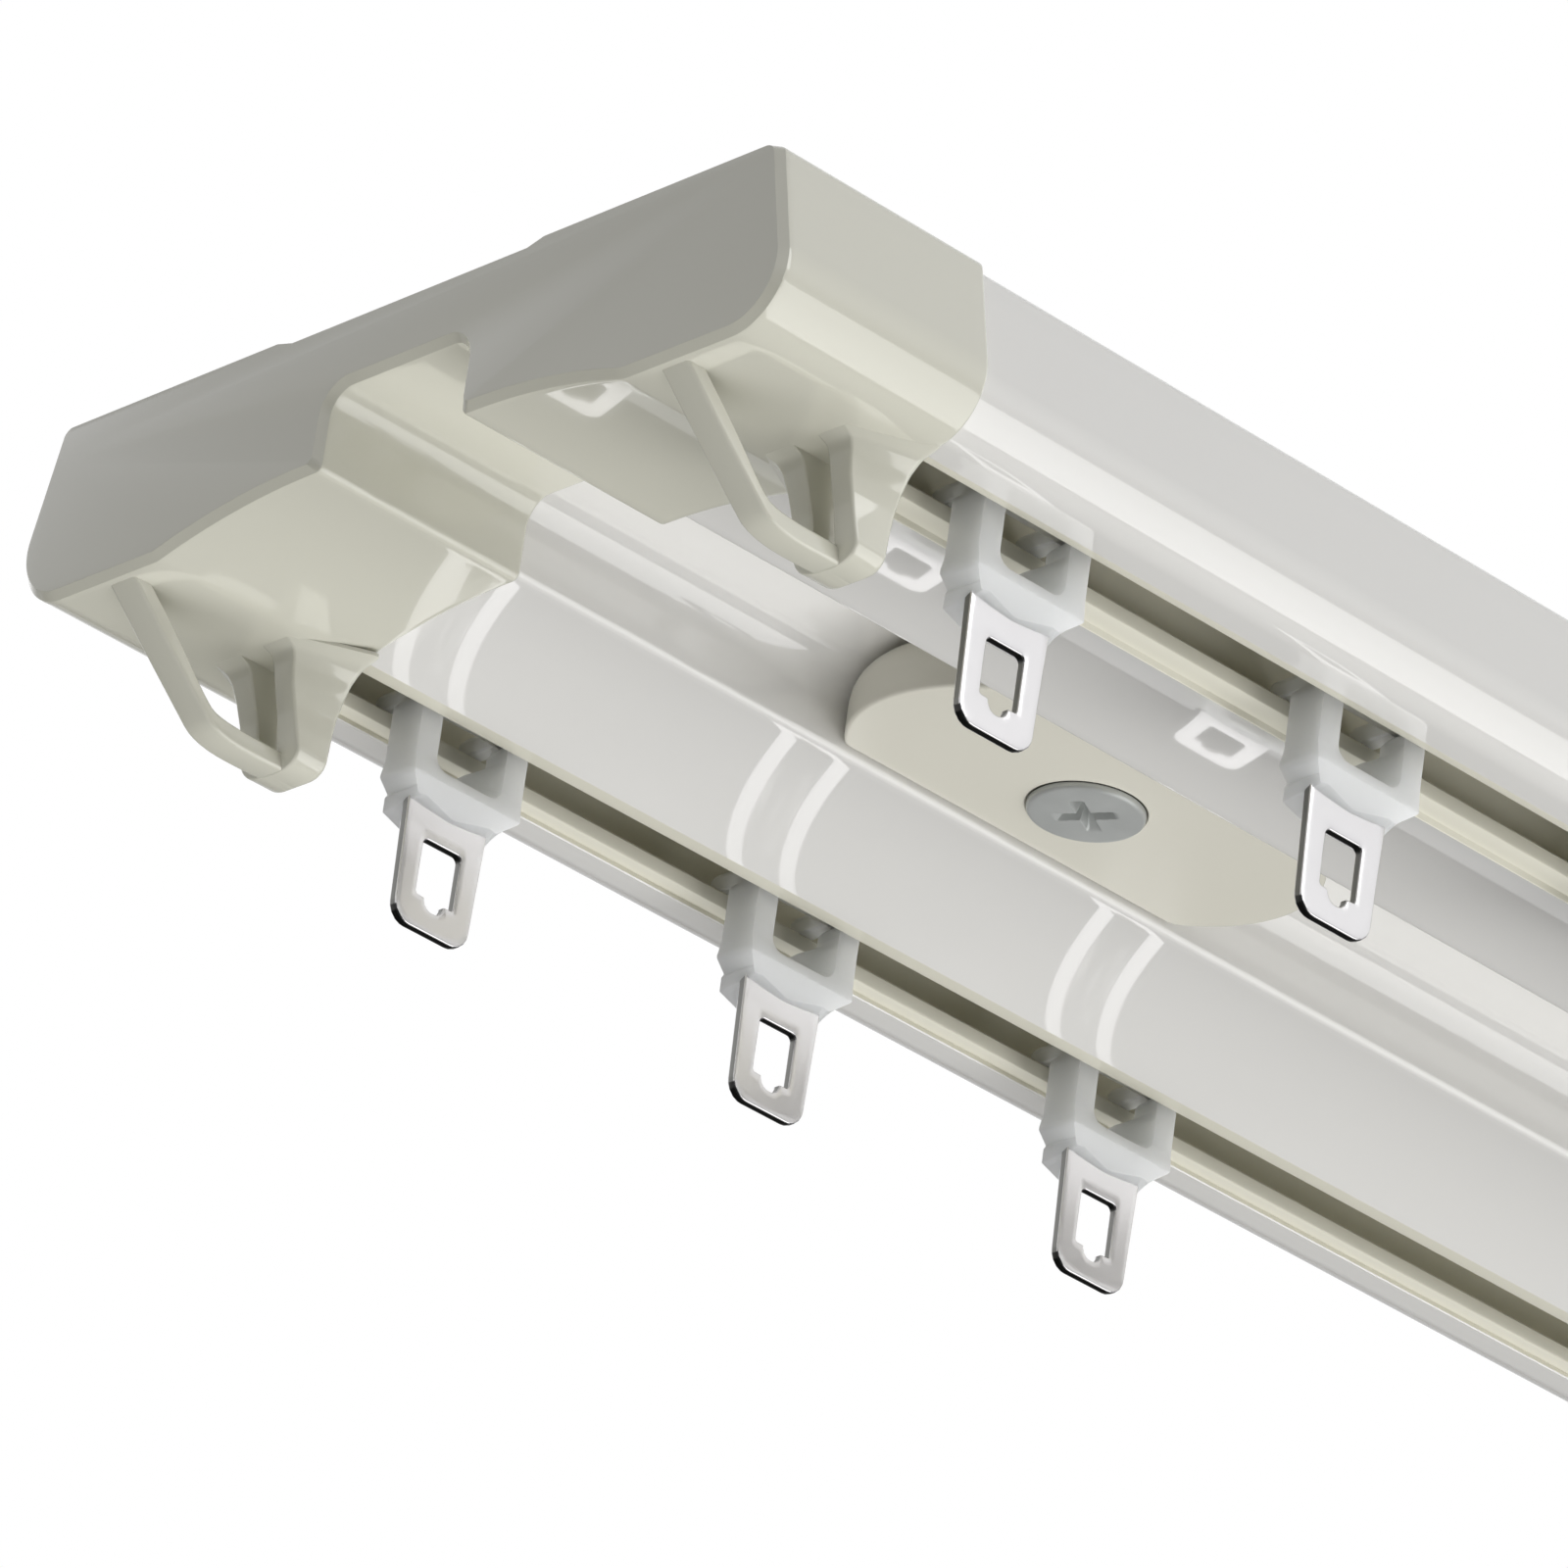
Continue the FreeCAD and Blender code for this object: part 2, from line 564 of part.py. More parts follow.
def glider_positions():
    near = [FIRST_GLIDER_FROM_END + i * GLIDER_PITCH - END_FACE_X for i in range(GLIDERS_PER_GROUP)]
    return near + [-x for x in reversed(near)]


def save(shape, name):
    shape.exportStep(os.path.join("parts", name + ".step"))


def placed(shape, x, y):
    moved = shape.copy()
    moved.translate(Vector(x, y, 0))
    return moved


def main():
    os.makedirs("parts", exist_ok=True)
    save(track_profile(), "track_profile")
    cap = end_cap()
    save(placed(cap, -END_FACE_X, 0), "end_cap_left")
    save(placed(mirrored_x(cap), END_FACE_X, 0), "end_cap_right")
    for number, x in enumerate(fixing_positions(), 1):
        save(fixing_washer(x), "fixing_washer_%d" % number)
        save(fixing_screw(x), "fixing_screw_%d" % number)
    body, plate = glider_body(), eyelet()
    for run, y in (("a", RUN_Y), ("b", -RUN_Y)):
        for number, x in enumerate(glider_positions(), 1):
            save(placed(body, x, y), "glider_%s%d" % (run, number))
            save(placed(plate, x, y), "eyelet_%s%d" % (run, number))


main()
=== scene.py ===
import bmesh
import bpy
import numpy as np
from mathutils import Matrix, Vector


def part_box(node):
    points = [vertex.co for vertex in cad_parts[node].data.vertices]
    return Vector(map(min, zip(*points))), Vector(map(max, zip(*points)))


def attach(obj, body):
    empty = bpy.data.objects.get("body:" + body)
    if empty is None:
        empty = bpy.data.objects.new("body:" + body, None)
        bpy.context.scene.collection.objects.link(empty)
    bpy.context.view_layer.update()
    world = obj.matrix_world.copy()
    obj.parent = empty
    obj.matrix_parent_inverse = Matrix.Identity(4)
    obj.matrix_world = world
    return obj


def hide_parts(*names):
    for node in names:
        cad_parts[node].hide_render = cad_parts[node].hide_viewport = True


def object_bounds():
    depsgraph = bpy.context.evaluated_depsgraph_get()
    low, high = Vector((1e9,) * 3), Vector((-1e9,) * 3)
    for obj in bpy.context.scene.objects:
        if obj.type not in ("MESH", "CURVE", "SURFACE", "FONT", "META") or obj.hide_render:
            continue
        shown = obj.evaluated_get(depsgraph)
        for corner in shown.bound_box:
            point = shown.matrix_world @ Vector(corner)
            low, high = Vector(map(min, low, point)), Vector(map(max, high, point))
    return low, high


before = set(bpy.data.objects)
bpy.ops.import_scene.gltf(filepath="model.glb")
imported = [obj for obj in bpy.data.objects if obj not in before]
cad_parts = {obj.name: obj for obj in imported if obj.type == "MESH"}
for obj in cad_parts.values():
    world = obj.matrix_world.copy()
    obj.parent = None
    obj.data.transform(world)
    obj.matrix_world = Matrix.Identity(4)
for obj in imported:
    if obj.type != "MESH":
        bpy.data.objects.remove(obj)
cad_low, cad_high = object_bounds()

# TRACK
# A white PVC extrusion with two running slots and a hollow middle. A glossy white skin is
# co-extruded over cream stock, and the lips beside the slots and the channels stay bare.
MM = 0.001
track_low, track_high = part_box("track_profile")
TOP_HALF = 39.1
TOP_EDGE = 0.9
FOOT_Y, FOOT_Z, FOOT_RADIUS = 37.25, 10.03, 4.1
BEND_Y = 26.0
RECESS_HALF, RECESS_DEPTH, RECESS_FILLET = 8.8, 5.0, 3.2
INNER_DEPTH, INNER_ROUND = 11.7, 0.6
SLOT_INNER_Y, SLOT_OUTER_Y = 28.4, 33.6
SKIN_STEP, SKIN_OUTER_Y = 0.45, 35.1
LIP_THICKNESS = 1.5
LIP_SOFT, LIP_STEP, LIP_STEP_Y = 0.25, 0.6, 36.4
CHANNEL_TOP, CHANNEL_IN, CHANNEL_OUT = 1.3, 25.5, 38.6
CHANNEL_WIDEST_Y, CHANNEL_WIDEST_Z, CHANNEL_TOP_Y = 39.8, -9.0, 38.0
SKIN, BARE = 0, 1


class Wire:
    """An output socket of a finish. Arithmetic on it adds Math nodes to the finish's tree."""

    def __init__(self, tree, output=None):
        self.tree, self.output = tree, output

    def node(self, kind, settings=None, inputs=None, take=0):
        """Adds a node: first its settings, then a value or a wire for each of its sockets."""
        node = self.tree.nodes.new(kind)
        for name, value in (settings or {}).items():
            setattr(node, name, value)
        for key, value in (inputs or {}).items():
            if isinstance(value, Wire):
                self.tree.links.new(value.output, node.inputs[key])
            else:
                node.inputs[key].default_value = value
        return Wire(self.tree, node.outputs[take] if node.outputs else None)

    def beside(self, name):
        """Another output of the node that this wire comes from."""
        return Wire(self.tree, self.output.node.outputs[name])

    def math(self, operation, first, second):
        """A Math node on two values or wires."""
        return self.node("ShaderNodeMath", {"operation": operation}, {0: first, 1: second})

    def __add__(self, other):
        return self.math("ADD", self, other)

    __radd__ = __add__

    def __mul__(self, other):
        return self.math("MULTIPLY", self, other)

    __rmul__ = __mul__

    def __sub__(self, other):
        return self.math("SUBTRACT", self, other)

    def __rsub__(self, other):
        return self.math("SUBTRACT", other, self)

    def mix(self, first, second):
        """A colour between two, by this wire's value."""
        settings = {"data_type": "RGBA"}
        return self.node("ShaderNodeMix", settings, {0: self, 6: first, 7: second}, take=2)


def finish_named(name):
    """A new material, and a wire that adds nodes to its empty tree."""
    material = bpy.data.materials.new(name)
    material.use_nodes = True
    material.node_tree.nodes.clear()
    return material, Wire(material.node_tree)


def tint(red, green, blue):
    """A colour given as it looks on a screen, 0 to 1, turned into linear light."""
    screen = np.array([red, green, blue])
    linear = np.where(screen > 0.04045, ((screen + 0.055) / 1.055) ** 2.4, screen / 12.92)
    return (*linear.tolist(), 1.0)


def plastic(name, light, dark, roughness, gloss=0.5, ripple=0.02, fine=900.0, subsurface=0.0, coat=0.0):
    """Moulded or extruded plastic: slow changes of colour, a fine skin and a broad ripple."""
    material, tree = finish_named(name)
    place = tree.node("ShaderNodeTexCoord", take="Object")
    slow = tree.node("ShaderNodeTexNoise", {}, {"Vector": place, "Scale": 14.0, "Detail": 3.0})
    grain = tree.node("ShaderNodeTexNoise", {}, {"Vector": place, "Scale": fine, "Detail": 2.0})
    swell = tree.node("ShaderNodeTexNoise", {}, {"Vector": place, "Scale": 60.0, "Detail": 1.0})
    colour = slow.mix(dark, light)
    rough = roughness + (grain - 0.5) * (roughness * 0.25)
    height = grain * 0.15 + swell
    bump = tree.node("ShaderNodeBump", {}, {"Strength": ripple, "Distance": 0.0004, "Height": height})
    shader = tree.node("ShaderNodeBsdfPrincipled", {}, {
        "Base Color": colour, "Roughness": rough, "Normal": bump, "Specular IOR Level": gloss,
        "Coat Weight": coat, "Coat Roughness": 0.02, "Subsurface Weight": subsurface,
        "Subsurface Radius": (0.006, 0.006, 0.0058), "Subsurface Scale": 1.0})
    tree.node("ShaderNodeOutputMaterial", {}, {"Surface": shader})
    return material


def arc_line(centre_y, centre_z, radius, start, end, count):
    """Points of a circular arc in the YZ plane: centre plus radius times cosine and sine."""
    turn = np.radians(np.linspace(start, end, count))
    return np.stack([centre_y + radius * np.cos(turn), centre_z + radius * np.sin(turn)], 1)


def straight(start, end, count=4):
    """Points of a straight run, drawn close together near both ends so that faces stay flat."""
    share = (1 - np.cos(np.pi * np.linspace(0, 1, count))) / 2
    return np.array(start) + share[:, None] * (np.array(end) - np.array(start))


def side_line(grow):
    """One side of the track's section, grown outwards by a distance, in mm: the top corner,
    the splayed side, tangent to both of its roundings, and the round foot."""
    top_y, radius = TOP_HALF + grow, FOOT_RADIUS + grow
    across, down = top_y - FOOT_Y, FOOT_Z
    reach = np.hypot(across, down)
    lean = np.degrees(np.arctan2(down, across) - np.arctan2(np.sqrt(reach ** 2 - radius ** 2), radius))
    cut = TOP_EDGE * np.tan(np.radians((90 - lean) / 2))
    corner = arc_line(top_y - cut, -TOP_EDGE, TOP_EDGE, 90, lean, 8)
    foot = arc_line(FOOT_Y, -FOOT_Z, radius, lean, -90, 26)
    return np.concatenate([corner, straight(corner[-1], foot[0])[1:-1], foot])


def hollow_line(grow):
    """The underside from the bend to the middle of the recess: a hollow curve that meets the
    recess's edge level, a small rounding, the wall, its fillet and the ceiling."""
    low, wall = -(FOOT_Z + FOOT_RADIUS + grow), RECESS_HALF - grow
    edge = -(INNER_DEPTH + grow)
    run, drop = BEND_Y - wall - INNER_ROUND, edge - low
    radius = (run ** 2 + drop ** 2) / (2 * drop)
    across = np.linspace(run, 0, 24)
    rise = np.sqrt(radius ** 2 - across ** 2)
    curve = np.stack([wall + INNER_ROUND + across, edge - radius + rise], 1)
    corner = arc_line(wall + INNER_ROUND, edge + INNER_ROUND, INNER_ROUND, -90, -180, 8)
    fillet_radius = RECESS_FILLET - grow
    ceiling = -(RECESS_DEPTH + grow)
    fillet = arc_line(wall - fillet_radius, ceiling - fillet_radius, fillet_radius, 0, 90, 14)
    middle = np.array([0.0, ceiling])
    return np.concatenate([
        curve, corner, straight(corner[-1], fillet[0])[1:-1], fillet, straight(fillet[-1], middle)[1:]])


def slot_line():
    """The lips, the slot and the running channel behind it, from the foot to the bend."""
    low = -(FOOT_Z + FOOT_RADIUS)
    face = low + SKIN_STEP
    back = face + LIP_THICKNESS
    outer, inner, soft, nip = SLOT_OUTER_Y, SLOT_INNER_Y, LIP_SOFT, LIP_SOFT * 0.3
    return np.array([
        (SKIN_OUTER_Y + 0.1, low), (SKIN_OUTER_Y, low + 0.1), (SKIN_OUTER_Y, face),
        (outer + soft, face), (outer + nip, face + nip), (outer, face + soft),
        (outer, back - soft), (outer + soft, back), (LIP_STEP_Y, back), (LIP_STEP_Y, back - LIP_STEP),
        (CHANNEL_OUT, back - LIP_STEP), (CHANNEL_WIDEST_Y, CHANNEL_WIDEST_Z),
        (CHANNEL_TOP_Y, -CHANNEL_TOP), (CHANNEL_IN, -CHANNEL_TOP), (CHANNEL_IN, back), (inner - soft, back), (inner, back - soft),
        (inner, face + soft), (inner - nip, face + nip), (inner - soft, face),
        (BEND_Y + 0.25, face), (BEND_Y + 0.1, low + 0.06),
    ])


def mirrored_section(half):
    """A closed section from its +Y half, which starts and ends on the middle plane."""
    other = half[-2:0:-1] * [-1, 1]
    return np.concatenate([half, other])


def swept(section, stations):
    """A section in mm carried along X: point (s, x) is section point s at station x, in metres."""
    x = np.asarray(stations)[:, None]
    y, z = section[:, 0] * MM, section[:, 1] * MM
    return np.stack(np.broadcast_arrays(x, y, z), 2)


def grid_faces(rows, columns, close_rows=False, close_columns=False):
    """Corner numbers of the four-sided faces of a rows by columns grid of points."""
    r = np.arange(rows if close_rows else rows - 1)
    c = np.arange(columns if close_columns else columns - 1)
    row, column = np.meshgrid(r, c, indexing="ij")
    row_next, column_next = (row + 1) % rows, (column + 1) % columns
    corners = [row * columns + column, row * columns + column_next,
               row_next * columns + column_next, row_next * columns + column]
    return np.stack(corners, 2).reshape(-1, 4)


def piece(name, patches, finishes, body, nodes, sharp=32.0):
    """One mesh from patches of (points, faces, finish numbers), welded, turned outwards and
    shaded smooth between sharp edges. It rides on a body and stands for the given nodes."""
    points, faces, numbers, start = [], [], [], 0
    for patch_points, patch_faces, patch_numbers in patches:
        flat = np.asarray(patch_points).reshape(-1, 3)
        points.append(flat)
        faces += [[start + int(i) for i in face] for face in patch_faces]
        numbers += list(np.broadcast_to(patch_numbers, len(patch_faces)))
        start += len(flat)
    mesh = bpy.data.meshes.new(name)
    mesh.from_pydata(np.concatenate(points), [], faces)
    mesh.polygons.foreach_set("material_index", np.array(numbers, dtype=np.int32))
    work = bmesh.new()
    work.from_mesh(mesh)
    bmesh.ops.remove_doubles(work, verts=work.verts, dist=1e-7)
    bmesh.ops.recalc_face_normals(work, faces=work.faces)
    work.to_mesh(mesh)
    work.free()
    mesh.polygons.foreach_set("use_smooth", np.ones(len(mesh.polygons), dtype=bool))
    mesh.set_sharp_from_angle(angle=np.radians(sharp))
    for finish in finishes:
        mesh.materials.append(finish)
    made = bpy.data.objects.new(name, mesh)
    bpy.context.scene.collection.objects.link(made)
    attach(made, body)
    if nodes:
        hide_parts(*nodes)
    return made


skin_white = plastic("track_skin", tint(0.905, 0.90, 0.885), tint(0.89, 0.885, 0.87),
                     0.06, 0.6, 0.006, coat=1.0)
bare_cream = plastic("track_bare_stock", tint(0.88, 0.87, 0.81), tint(0.865, 0.855, 0.795),
                     0.3, 0.4, 0.05)

side, slot_run, hollow = side_line(0), slot_line(), hollow_line(0)
top = straight((0, 0), side[0])[:-1]
half_section = np.concatenate([top, side, slot_run, hollow])
bare_from, bare_to = len(top) + len(side) + 1, len(top) + len(side) + len(slot_run)
section = mirrored_section(half_section)
column = np.arange(len(section))
from_middle = np.where(column < len(half_section), column, len(section) - 1 - column)
bare = (from_middle >= bare_from) & (from_middle < bare_to)
near_end, far_end = [track_low[0], track_low[0] + MM], [track_high[0] - MM, track_high[0]]
track_points = swept(section, np.concatenate([near_end, np.linspace(-0.55, 0.55, 12), far_end]))
rows = track_points.shape[0]
track_faces = grid_faces(rows, len(section), close_columns=True)
face_numbers = np.tile(np.where(bare, BARE, SKIN), rows - 1)
closing = [list(range(len(section))), list(range((rows - 1) * len(section), rows * len(section)))]
piece("track", [(track_points, track_faces, face_numbers), (track_points, closing, BARE)],
      [skin_white, bare_cream], "track", ["track_profile"])

# END CAPS
# Injection-moulded cream caps pushed over each end of the track: a sleeve closed by a plate with
# a bevelled edge, and under each run a hook loop of strut, bar and split rear post.
CAP_OUT, CAP_IN = 1.0, 0.15
CAP_LENGTH, CAP_PLATE, CAP_BEVEL, CAP_REAR = 20.9, 2.0, 0.7, 0.3
RELIEF_HALF, RELIEF_RAMP, RELIEF = 13.1, 1.8, 0.45
HOOK_Y = 30.7
UNDERSIDE = -(FOOT_Z + FOOT_RADIUS + CAP_OUT)
HOOK_LOW = UNDERSIDE - 9.1
HOOK_HALF = 1.45
HOOK_ROOT = UNDERSIDE + 0.4
FOOT_HALF, FOOT_HEIGHT = 3.4, 1.6
HEEL_ROUND, TOE_ROUND = 0.45, 0.25

cap_cream = plastic("cap_cream", tint(0.85, 0.845, 0.79), tint(0.835, 0.83, 0.775),
                    0.1, 0.5, 0.01, coat=1.0)


def cap_line(grow):
    """The cap's section without its top, from the +Y top corner round to the -Y one, in mm."""
    side, hollow = side_line(grow), hollow_line(grow)
    half = np.concatenate([side, straight(side[-1], hollow[0])[1:-1], hollow])
    return np.concatenate([half, half[-2::-1] * [-1, 1]])


def cap_shell(face_x, inward):
    """The sleeve as a grid: the cap's section at growing x, its size following the bevel, the
    straight outside, the rounded rear edge and then the inside back to the plate."""
    soft = 0.1
    face_grow, rear_x, rear_grow = CAP_OUT - CAP_BEVEL, CAP_LENGTH - CAP_REAR, CAP_OUT - CAP_REAR
    walk = [(0.0, face_grow), (0.02, face_grow + soft * 0.7), (CAP_BEVEL - soft * 0.7, CAP_OUT - 0.04),
            (CAP_BEVEL + soft, CAP_OUT), (CAP_BEVEL + 0.5, CAP_OUT), (rear_x - 0.3, CAP_OUT)]
    turn = np.radians(np.linspace(0, 90, 6))
    walk += list(zip(rear_x + CAP_REAR * np.sin(turn), rear_grow + CAP_REAR * np.cos(turn)))
    walk += [(CAP_LENGTH, CAP_IN), (CAP_PLATE, CAP_IN)]
    rows = [swept(cap_line(grow), [face_x + inward * x * MM])[0] for x, grow in walk]
    return np.stack(rows)


def cap_patches(face_x, inward):
    """The sleeve, the plate's face and top with its relief, and the edges along the top."""
    shell = cap_shell(face_x, inward)
    rows, columns = shell.shape[:2]
    relief_end = RELIEF_HALF + RELIEF_RAMP
    relief_y = np.array([-relief_end, -RELIEF_HALF, RELIEF_HALF, relief_end])
    relief_z = np.array([0, -RELIEF, -RELIEF, 0])
    front_top = swept(np.stack([relief_y, relief_z], 1), [face_x, face_x + inward * CAP_PLATE * MM])
    patches = [(shell, grid_faces(rows, columns), 0)]
    face = np.concatenate([shell[0], front_top[0]])
    inside = np.concatenate([shell[-1], front_top[1]])
    whole = [list(range(len(face)))]
    patches += [(face, whole, 0), (inside, whole, 0)]
    for column in (0, columns - 1):
        patches.append((shell[:, column], [list(range(rows))], 0))
    first, last = (shell[0, -1], shell[-1, -1]), (shell[0, 0], shell[-1, 0])
    strip = np.array([[first[0], *front_top[0], last[0]], [first[1], *front_top[1], last[1]]])
    patches.append((strip, grid_faces(2, strip.shape[1]), 0))
    return patches


def strip_along(path, inner, y, half, soft=0.28):
    """A strip of the hook: each station has an outer and an inner point in XZ, and the section
    round them is a rectangle, 2 x half wide, whose corners are rounded by the soft distance."""
    path, inner = np.array(path), np.array(inner)
    across = inner - path
    depth = np.linalg.norm(across, axis=1, keepdims=True)
    unit = across / depth
    turn = np.radians(np.linspace(0, 90, 5))
    corner_v, corner_w = soft - soft * np.sin(turn), soft - soft * np.cos(turn)
    rows = []
    for side_sign, deep in ((-1, 0), (1, 0), (1, 1), (-1, 1)):
        order = slice(None) if (side_sign > 0) == bool(deep) else slice(None, None, -1)
        for v, w in zip(corner_v[order], corner_w[order]):
            along = (depth - v) if deep else np.full_like(depth, v)
            place = path + unit * along
            level = np.full(len(path), y + side_sign * (half - w))
            rows.append(np.stack([place[:, 0], level, place[:, 1]], 1))
    return np.stack(rows, 1)


def smooth_line(points, count):
    """A polyline with its corners drawn round: a quadratic curve between the middles of runs."""
    points = np.array(points, dtype=float)
    middles = (points[:-1] + points[1:]) / 2
    share = np.linspace(0, 1, count)[:, None]
    parts = [points[:1]]
    for corner in range(1, len(points) - 1):
        a, b, c = middles[corner - 1], points[corner], middles[corner]
        parts.append((1 - share) ** 2 * a + 2 * share * (1 - share) * b + share ** 2 * c)
    parts.append(points[-1:])
    return np.concatenate(parts)


def rounded(corners, radii, count=6):
    """A closed polygon with each corner replaced by an arc of its own radius, which touches both
    of the corner's sides."""
    corners = np.array(corners, float)
    result = []
    for number, radius in enumerate(radii):
        here = corners[number]
        before = corners[number - 1] - here
        after = corners[(number + 1) % len(corners)] - here
        before, after = before / np.linalg.norm(before), after / np.linalg.norm(after)
        half = np.arccos(np.clip(before @ after, -1, 1)) / 2
        start, end = here + before * radius / np.tan(half), here + after * radius / np.tan(half)
        share = np.linspace(0, 1, count)[:, None]
        centre = here + (before + after) / np.linalg.norm(before + after) * radius / np.sin(half)
        spoke = (1 - share) * (start - centre) + share * (end - centre)
        result.append(centre + radius * spoke / np.linalg.norm(spoke, axis=1, keepdims=True))
    return np.concatenate(result)


def stacked(levels, corners, radii):
    """A post standing in Z: at each level a polygon in plan with its corners rounded."""
    rings = []
    for z, plan, soft in zip(levels, corners, radii):
        ring = rounded(plan, soft)
        rings.append(np.column_stack([ring, np.full(len(ring), z)]))
    return np.stack(rings)


def capped(points):
    """The patches of a closed tube of rings: its wall, and its two ends."""
    rows, columns = points.shape[:2]
    wall = grid_faces(rows, columns, close_columns=True)
    ends = [list(range(columns)), list(range((rows - 1) * columns, rows * columns))]
    return [(points, wall, 0), (points, ends, 0)]


def strut_patches(y):
    """Strut and bar: one strip, bent at the knee, whose end is sunk into the post's foot."""
    low, high = HOOK_LOW, HOOK_LOW + 1.55
    outer = [(0.75, HOOK_ROOT), (5.1, -18.7), (9.05, low + 2.1),
             (11.5, low), (18.0, low), (19.0, low + 0.3)]
    inner = [(2.65, HOOK_ROOT), (6.4, -18.0), (9.75, low + 2.7),
             (11.4, high), (18.0, high), (19.0, low + 1.3)]
    return capped(strip_along(smooth_line(outer, 7), smooth_line(inner, 7), y, HOOK_HALF))


def post_patches(y, sign):
    """One half of the post, from the middle plane outwards, as rings from its foot upwards. The
    foot's half width w at height t is a superellipse of its full half width and height:
    (w / half width)^3 + (1 - t / height)^2.1 = 1.
    Above the bar the half becomes a tine. Its front edge leans back, and its rear edge flares
    into the underside."""
    rise = FOOT_HEIGHT * np.linspace(0, 1, 16)[1:] ** 1.8
    foot_half = FOOT_HALF * (1 - (1 - rise / FOOT_HEIGHT) ** 2.1) ** (1 / 3)
    tine = np.linspace(HOOK_LOW + 1.8, UNDERSIDE + 0.1, 40)
    z = np.concatenate([HOOK_LOW + rise, [HOOK_LOW + FOOT_HEIGHT + 0.02], tine, [HOOK_ROOT]])
    front = np.interp(z, [HOOK_LOW, -22.3, -19.9, -17.2, -16.2, -15.6, -15.3, UNDERSIDE],
                      [18.05, 17.5, 16.9, 16.0, 15.7, 15.35, 14.9, 14.1])
    half_front = np.interp(z, [-22.6, -20.0, -18.0, -16.6, -15.6, UNDERSIDE],
                           [3.4, 3.25, 3.35, 3.6, 3.95, 4.3])
    half_rear = np.interp(z, [-22.6, -21.2, -19.4, -17.9, -16.65, -15.9, -15.5, -15.3, UNDERSIDE],
                          [3.4, 3.5, 3.75, 4.3, 5.0, 5.8, 6.4, 6.9, 7.9])
    half_front[:len(rise)] = foot_half
    half_rear[:len(rise)] = foot_half
    toe, heel = (size * (1 - np.sqrt(1 - np.clip(1 - (z - HOOK_LOW) / size, 0, 1) ** 2))
                 for size in (TOE_ROUND, HEEL_ROUND))
    gap = np.interp(z, [HOOK_LOW + 1.61, HOOK_LOW + 1.62, -20.0, UNDERSIDE], [0.0, 1.05, 1.1, 1.3])
    soft_out = min(0.4, foot_half[0])
    soft_in = np.where(gap > 0, 0.22, 0.01)
    plans, radii = [], []
    for x0, x1, inside, w0, w1, in_r in zip(
            front + toe, CAP_LENGTH - 0.02 - heel, gap, half_front, half_rear, soft_in):
        y0, y1, cut = y + sign * w0, y + sign * w1, y + sign * inside
        plans.append([(x1, y1), (x0, y0), (x0, cut), (x1, cut)])
        radii.append([soft_out, soft_out * 0.75, in_r, in_r])
    return capped(stacked(z, plans, radii))


def hook_patches(y):
    """The strut with its bar, and both halves of the post."""
    return strut_patches(y) + post_patches(y, -1) + post_patches(y, 1)


for end_name, face_x, inward in (("left", cad_low[0], 1), ("right", cad_high[0], -1)):
    patches = cap_patches(face_x, inward)
    for run_sign in (1, -1):
        for points, faces, number in hook_patches(run_sign * HOOK_Y):
            placed = np.asarray(points).reshape(-1, 3) * [inward * MM, MM, MM] + [face_x, 0, 0]
            patches.append((placed, faces, number))
    piece("end_cap_" + end_name + "_shell", patches, [cap_cream],
          "track", ["end_cap_" + end_name], 28)

# FIXING WASHERS
# Cream blocks with bowed ends, pushed up into the recess and drawn to the ceiling by a screw
# each. The face is dished for the screw's head.
WASHER_FIT, WASHER_FACE = 0.2, -11.0
WASHER_BOW = 11.5
WASHER_EDGE, WASHER_BORE = 0.35, 2.3
HEAD_RADIUS = 4.7

washer_cream = plastic("washer_cream", tint(0.86, 0.85, 0.80), tint(0.845, 0.835, 0.785),
                       0.25, 0.5, 0.05)


def washer_plan(half_length, half_width, bow, count):
    """A closed plan outline by angle: straight sides and ends that are arcs of the bow radius."""
    angle = np.radians(np.linspace(0, 360, count, endpoint=False))
    c, s = np.abs(np.cos(angle)), np.abs(np.sin(angle))
    centre = half_length - bow
    corner_x = centre + np.sqrt(bow ** 2 - half_width ** 2)
    end_reach = centre * c + np.sqrt(np.maximum(bow ** 2 - (centre * s) ** 2, 0))
    side_reach = half_width / np.maximum(s, 1e-9)
    reach = np.where(side_reach * c <= corner_x, side_reach, end_reach)
    return np.stack([reach * np.cos(angle), reach * np.sin(angle)], 1)


